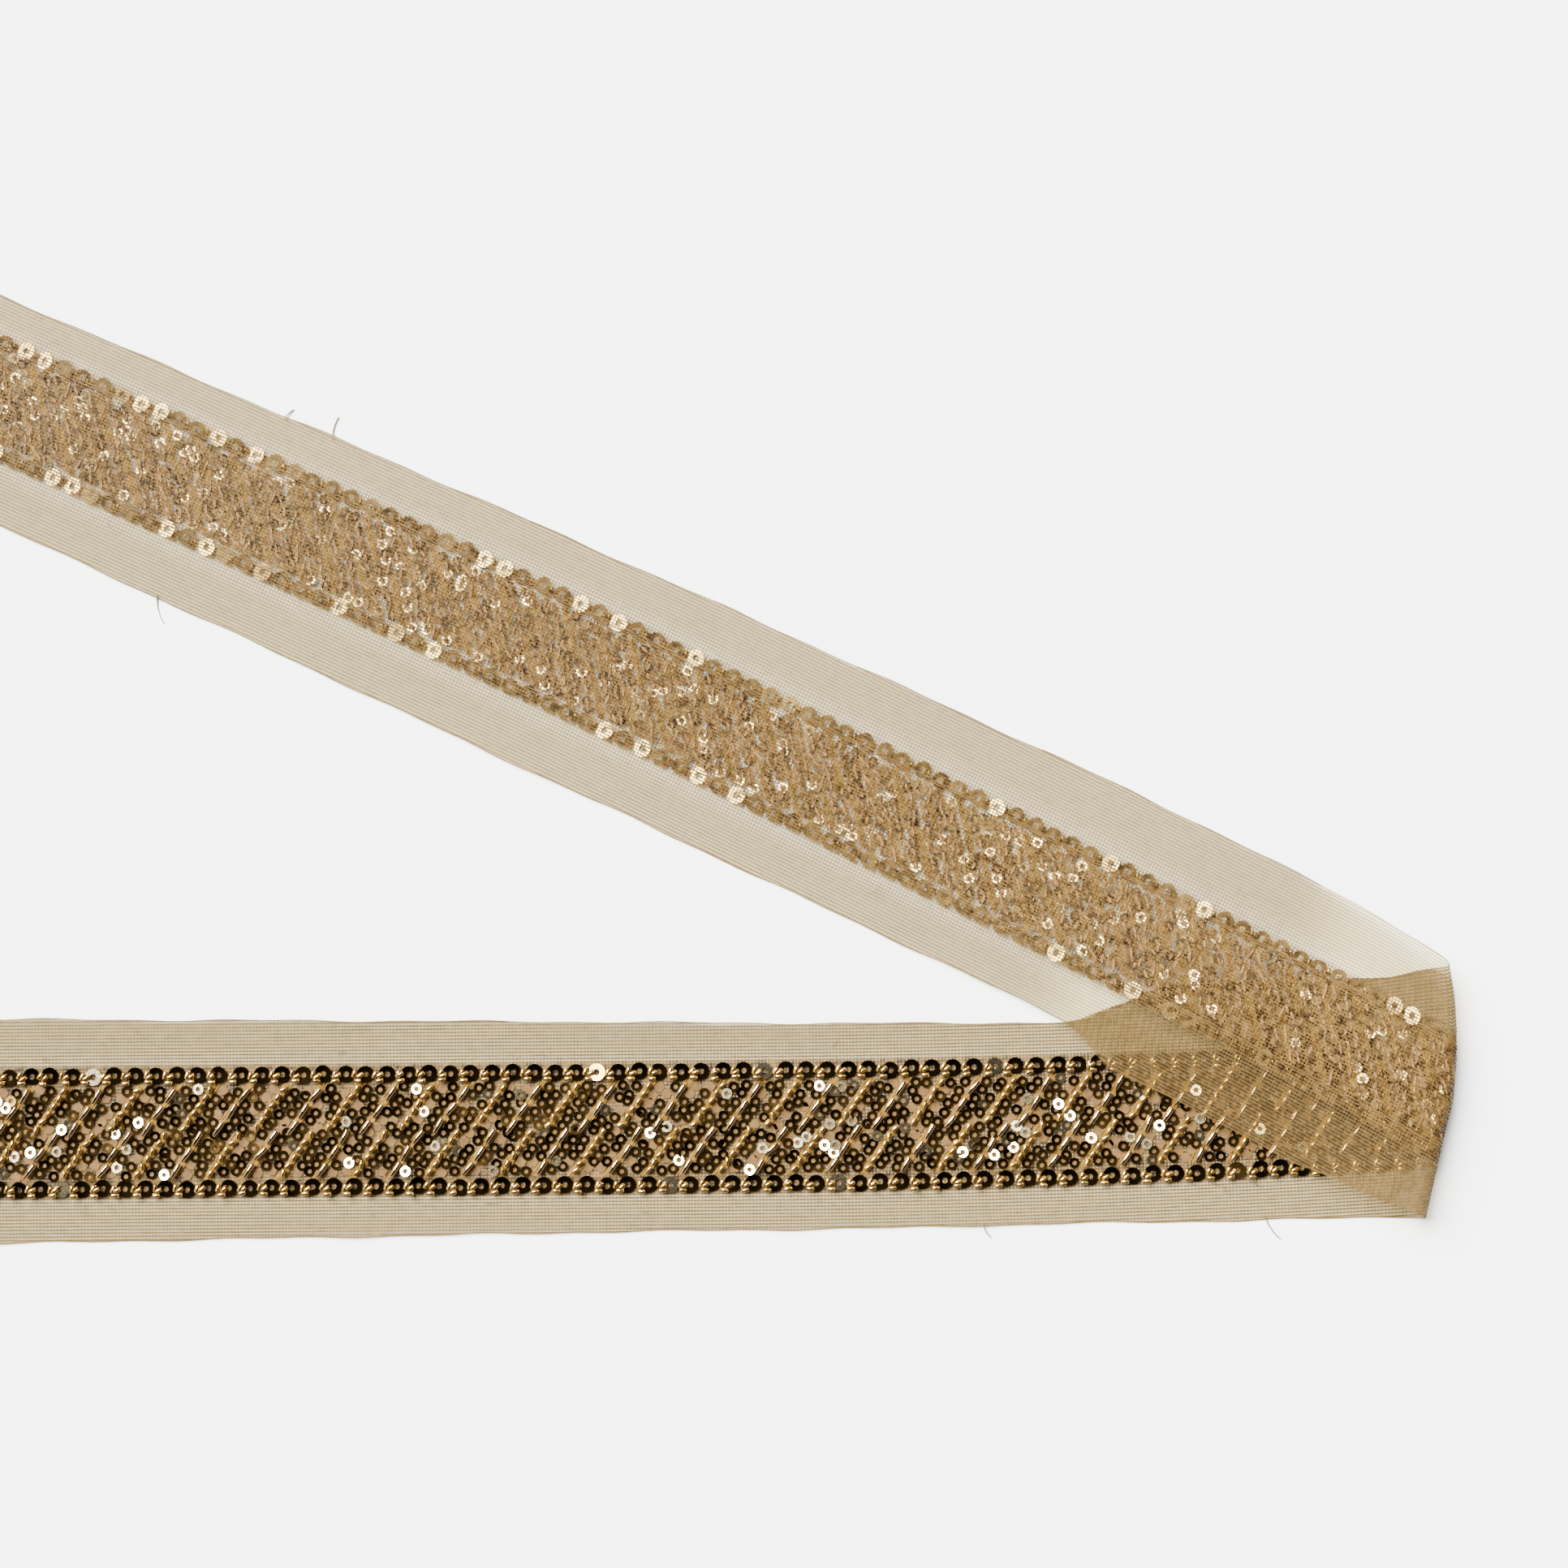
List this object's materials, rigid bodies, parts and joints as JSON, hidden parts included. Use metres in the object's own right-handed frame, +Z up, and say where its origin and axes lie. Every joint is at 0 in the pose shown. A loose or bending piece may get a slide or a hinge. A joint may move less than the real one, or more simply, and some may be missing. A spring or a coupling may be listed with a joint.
{
  "type": "sequin trim",
  "caption": "Sheer net ribbon with a sequin and bead band down its middle, folded back over itself and lying flat in a narrow V, for edging clothes and furnishings.",
  "frame": {"origin": "on the table, under the middle of the box around the whole folded trim", "axes": "+X along the length of the V from its open end towards the fold, +Y across the V from the lower leg towards the upper leg, +Z up"},
  "size_m": [0.452, 0.2792, 0.01],
  "materials": {
    "net": "sheer matte",
    "field": "shiny bronze",
    "border": "shiny bronze"
  },
  "bodies": {
    "root": {"net_ribbon": "net", "sequin_field": "field", "border_row_north": "border", "border_row_south": "border"}
  },
  "joints": []
}
